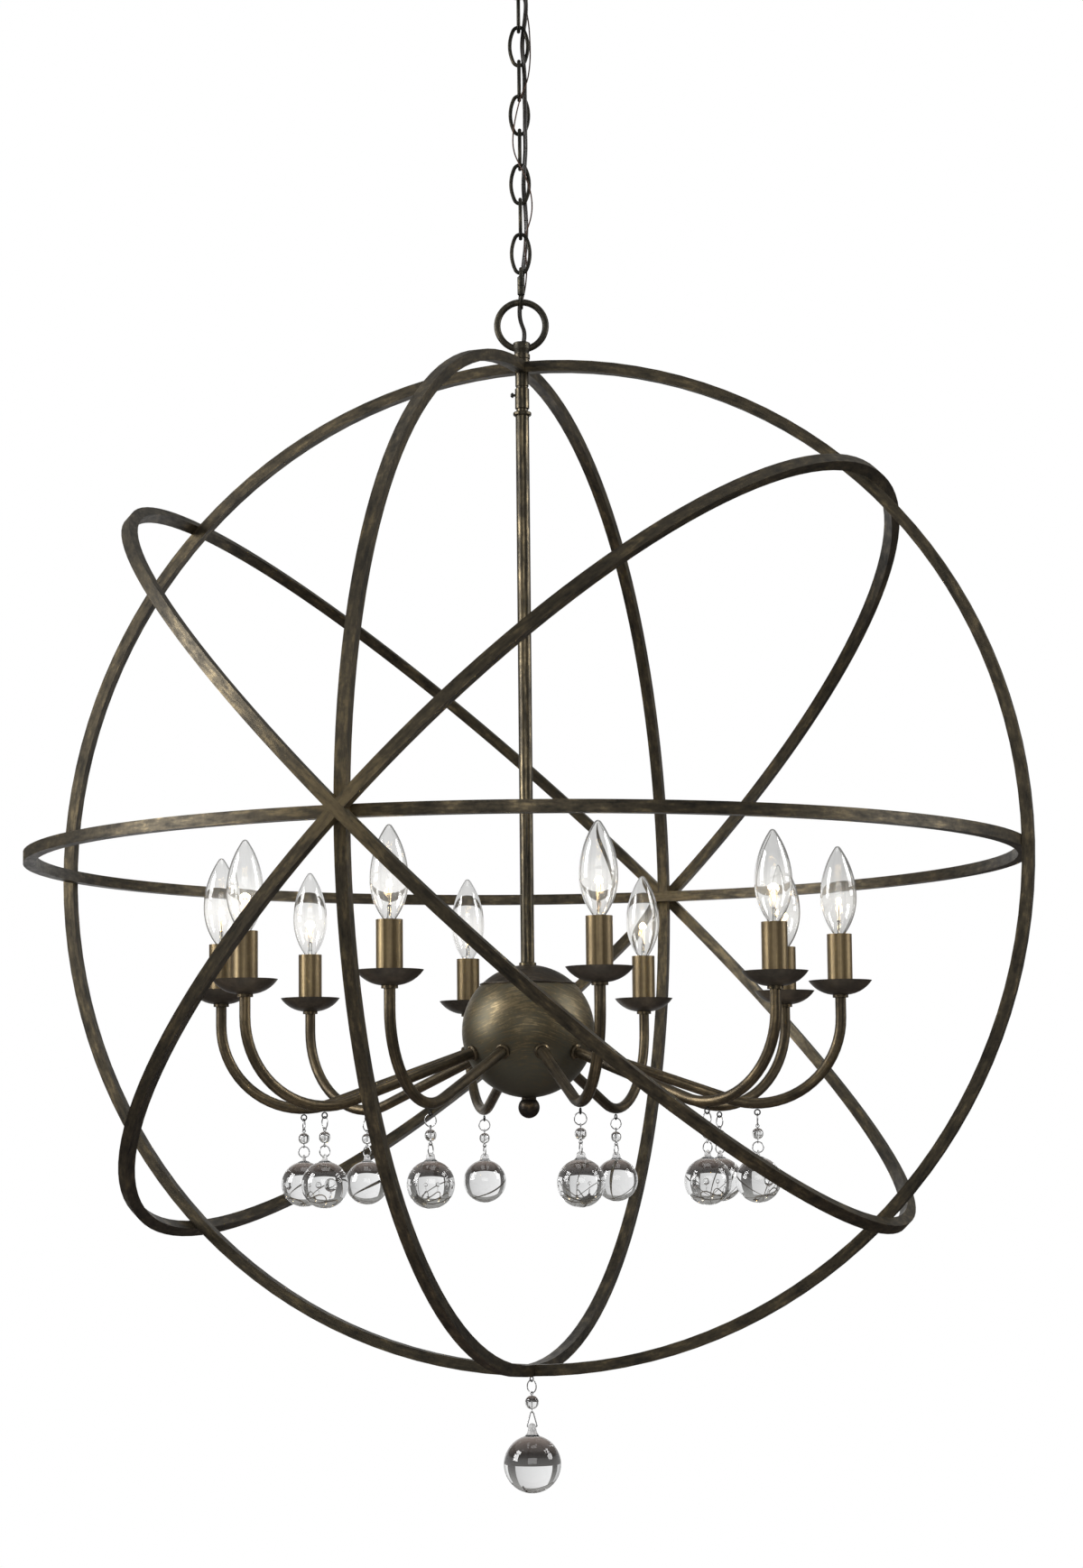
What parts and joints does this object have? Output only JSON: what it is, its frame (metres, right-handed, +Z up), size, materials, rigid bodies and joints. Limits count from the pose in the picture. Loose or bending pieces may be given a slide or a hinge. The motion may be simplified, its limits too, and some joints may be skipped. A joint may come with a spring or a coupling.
{
  "type": "chandelier",
  "caption": "Orb chandelier: square-bar hoops form an open sphere round a candle-arm fixture with clear glass balls, hung by a chain from a ceiling canopy.",
  "frame": {"origin": "on the ceiling, at the middle of the mounting bar's upper face", "axes": "+Z up, so the lamp hangs along -Z; X along the mounting bar, which is parallel to the front hoop's plane"},
  "size_m": [0.91, 0.9302, 1.4159],
  "materials": {
    "dark_bronze": "satin, worn to brown on the edges",
    "rubbed_bronze": "satin, hand-rubbed gold-brown strokes",
    "black_steel": "satin black",
    "plated_steel": "zinc plated",
    "cord": "dark insulated cord",
    "copper": "bare copper",
    "lamp_holder": "moulded black",
    "lamp_base": "bright",
    "lamp_glass": "clear",
    "crystal": "clear, polished",
    "silver_wire": "bright wire"
  },
  "bodies": {
    "ceiling_mount": {"canopy": "dark_bronze", "mounting_bar": "plated_steel", "canopy_fasteners": "plated_steel", "canopy_loop": "dark_bronze", "supply_cord": "cord", "ground_wire": "copper"},
    "chain_link_1": {"chain_link_1": "dark_bronze"},
    "chain_link_2": {"chain_link_2": "dark_bronze"},
    "chain_link_3": {"chain_link_3": "dark_bronze"},
    "chain_link_4": {"chain_link_4": "dark_bronze"},
    "chain_link_5": {"chain_link_5": "dark_bronze"},
    "chain_link_6": {"chain_link_6": "dark_bronze"},
    "chain_link_7": {"chain_link_7": "dark_bronze"},
    "chain_link_8": {"chain_link_8": "dark_bronze"},
    "connector_link": {"connector_link": "dark_bronze"},
    "cage": {"hanging_loop": "dark_bronze", "top_spool": "dark_bronze", "hoop_front": "rubbed_bronze", "hoop_side": "rubbed_bronze", "hoop_equator": "rubbed_bronze", "hoop_tilted_left": "rubbed_bronze", "hoop_tilted_right": "rubbed_bronze", "stem_coupling": "rubbed_bronze", "bottom_eyelet": "black_steel"},
    "thumb_screw": {"thumb_screw": "black_steel"},
    "fixture": {"stem": "rubbed_bronze", "hub_cap": "rubbed_bronze", "hub_bowl": "rubbed_bronze", "hub_rod": "plated_steel", "hub_finial": "rubbed_bronze", "arms": "rubbed_bronze", "lamp_leads": "cord", "drip_cups": "dark_bronze", "candle_sleeves": "rubbed_bronze", "lamp_sockets": "lamp_holder", "lamp_bases": "lamp_base", "lamp_glass": "lamp_glass", "arm_eyelets": "black_steel"},
    "pendant_01": {"crystal_01": "crystal", "crystal_wire_01": "silver_wire"},
    "pendant_02": {"crystal_02": "crystal", "crystal_wire_02": "silver_wire"},
    "pendant_03": {"crystal_03": "crystal", "crystal_wire_03": "silver_wire"},
    "pendant_04": {"crystal_04": "crystal", "crystal_wire_04": "silver_wire"},
    "pendant_05": {"crystal_05": "crystal", "crystal_wire_05": "silver_wire"},
    "pendant_06": {"crystal_06": "crystal", "crystal_wire_06": "silver_wire"},
    "pendant_07": {"crystal_07": "crystal", "crystal_wire_07": "silver_wire"},
    "pendant_08": {"crystal_08": "crystal", "crystal_wire_08": "silver_wire"},
    "pendant_09": {"crystal_09": "crystal", "crystal_wire_09": "silver_wire"},
    "pendant_10": {"crystal_10": "crystal", "crystal_wire_10": "silver_wire"},
    "pendant_11": {"crystal_11": "crystal", "crystal_wire_11": "silver_wire"}
  },
  "joints": [
    {"name": "chain_link_1_swing", "type": "hinge", "parent": "ceiling_mount", "child": "chain_link_1", "pos_m": [0, 0, -0.06], "axis": [0.95, 0.3123, 0], "range_deg": [-8, 8], "deforming": ["supply_cord", "ground_wire"]},
    {"name": "chain_link_2_swing", "type": "hinge", "parent": "chain_link_1", "child": "chain_link_2", "pos_m": [0, 0, -0.09215], "axis": [-0.3123, 0.95, 0], "range_deg": [-8, 8], "deforming": ["supply_cord", "ground_wire"]},
    {"name": "chain_link_3_swing", "type": "hinge", "parent": "chain_link_2", "child": "chain_link_3", "pos_m": [0, 0, -0.12485], "axis": [0.95, 0.3123, 0], "range_deg": [-8, 8], "deforming": ["supply_cord", "ground_wire"]},
    {"name": "chain_link_4_swing", "type": "hinge", "parent": "chain_link_3", "child": "chain_link_4", "pos_m": [0, 0, -0.15755], "axis": [-0.3123, 0.95, 0], "range_deg": [-8, 8], "deforming": ["supply_cord", "ground_wire"]},
    {"name": "chain_link_5_swing", "type": "hinge", "parent": "chain_link_4", "child": "chain_link_5", "pos_m": [0, 0, -0.19025], "axis": [0.95, 0.3123, 0], "range_deg": [-8, 8], "deforming": ["supply_cord", "ground_wire"]},
    {"name": "chain_link_6_swing", "type": "hinge", "parent": "chain_link_5", "child": "chain_link_6", "pos_m": [0, 0, -0.22295], "axis": [-0.3123, 0.95, 0], "range_deg": [-8, 8], "deforming": ["supply_cord", "ground_wire"]},
    {"name": "chain_link_7_swing", "type": "hinge", "parent": "chain_link_6", "child": "chain_link_7", "pos_m": [0, 0, -0.25565], "axis": [0.95, 0.3123, 0], "range_deg": [-8, 8], "deforming": ["supply_cord", "ground_wire"]},
    {"name": "chain_link_8_swing", "type": "hinge", "parent": "chain_link_7", "child": "chain_link_8", "pos_m": [0, 0, -0.28835], "axis": [-0.3123, 0.95, 0], "range_deg": [-8, 8], "deforming": ["supply_cord", "ground_wire"]},
    {"name": "connector_swing", "type": "hinge", "parent": "chain_link_8", "child": "connector_link", "pos_m": [0, 0, -0.32105], "axis": [0.95, 0.3123, 0], "range_deg": [-8, 8], "deforming": ["supply_cord", "ground_wire"]},
    {"name": "cage_swing", "type": "hinge", "parent": "connector_link", "child": "cage", "pos_m": [0, 0, -0.35335], "axis": [-0.3123, 0.95, 0], "range_deg": [-8, 8], "deforming": ["supply_cord", "ground_wire"]},
    {"name": "thumb_screw_turn", "type": "hinge", "parent": "cage", "child": "thumb_screw", "pos_m": [-0.00613, -0.00201, -0.4351], "axis": [-0.95, -0.3123, 0], "range_deg": [0, 360]},
    {"name": "fixture_swivel", "type": "hinge", "parent": "cage", "child": "fixture", "pos_m": [0, 0, -0.4481], "axis": [0, 0, 1], "range_deg": [-170, 170]},
    {"name": "pendant_01_swing", "type": "hinge", "parent": "fixture", "child": "pendant_01", "pos_m": [0.10192, -0.17441, -1.0891], "axis": [0.5045, -0.8634, 0], "range_deg": [-25, 25]},
    {"name": "pendant_02_swing", "type": "hinge", "parent": "fixture", "child": "pendant_02", "pos_m": [0.18496, -0.08119, -1.0891], "axis": [0.9157, -0.4019, 0], "range_deg": [-25, 25]},
    {"name": "pendant_03_swing", "type": "hinge", "parent": "fixture", "child": "pendant_03", "pos_m": [0.19736, 0.04303, -1.0891], "axis": [0.977, 0.213, 0], "range_deg": [-25, 25]},
    {"name": "pendant_04_swing", "type": "hinge", "parent": "fixture", "child": "pendant_04", "pos_m": [0.13438, 0.15082, -1.0891], "axis": [0.6652, 0.7466, 0], "range_deg": [-25, 25]},
    {"name": "pendant_05_swing", "type": "hinge", "parent": "fixture", "child": "pendant_05", "pos_m": [0.02006, 0.201, -1.0891], "axis": [0.0993, 0.9951, 0], "range_deg": [-25, 25]},
    {"name": "pendant_06_swing", "type": "hinge", "parent": "fixture", "child": "pendant_06", "pos_m": [-0.10192, 0.17441, -1.0891], "axis": [-0.5045, 0.8634, 0], "range_deg": [-25, 25]},
    {"name": "pendant_07_swing", "type": "hinge", "parent": "fixture", "child": "pendant_07", "pos_m": [-0.18496, 0.08119, -1.0891], "axis": [-0.9157, 0.4019, 0], "range_deg": [-25, 25]},
    {"name": "pendant_08_swing", "type": "hinge", "parent": "fixture", "child": "pendant_08", "pos_m": [-0.19736, -0.04303, -1.0891], "axis": [-0.977, -0.213, 0], "range_deg": [-25, 25]},
    {"name": "pendant_09_swing", "type": "hinge", "parent": "fixture", "child": "pendant_09", "pos_m": [-0.13438, -0.15082, -1.0891], "axis": [-0.6652, -0.7466, 0], "range_deg": [-25, 25]},
    {"name": "pendant_10_swing", "type": "hinge", "parent": "fixture", "child": "pendant_10", "pos_m": [-0.02006, -0.201, -1.0891], "axis": [-0.0993, -0.9951, 0], "range_deg": [-25, 25]},
    {"name": "pendant_11_swing", "type": "hinge", "parent": "cage", "child": "pendant_11", "pos_m": [0, 0, -1.31955], "axis": [0.4509, 0.8926, 0], "range_deg": [-25, 25]}
  ]
}
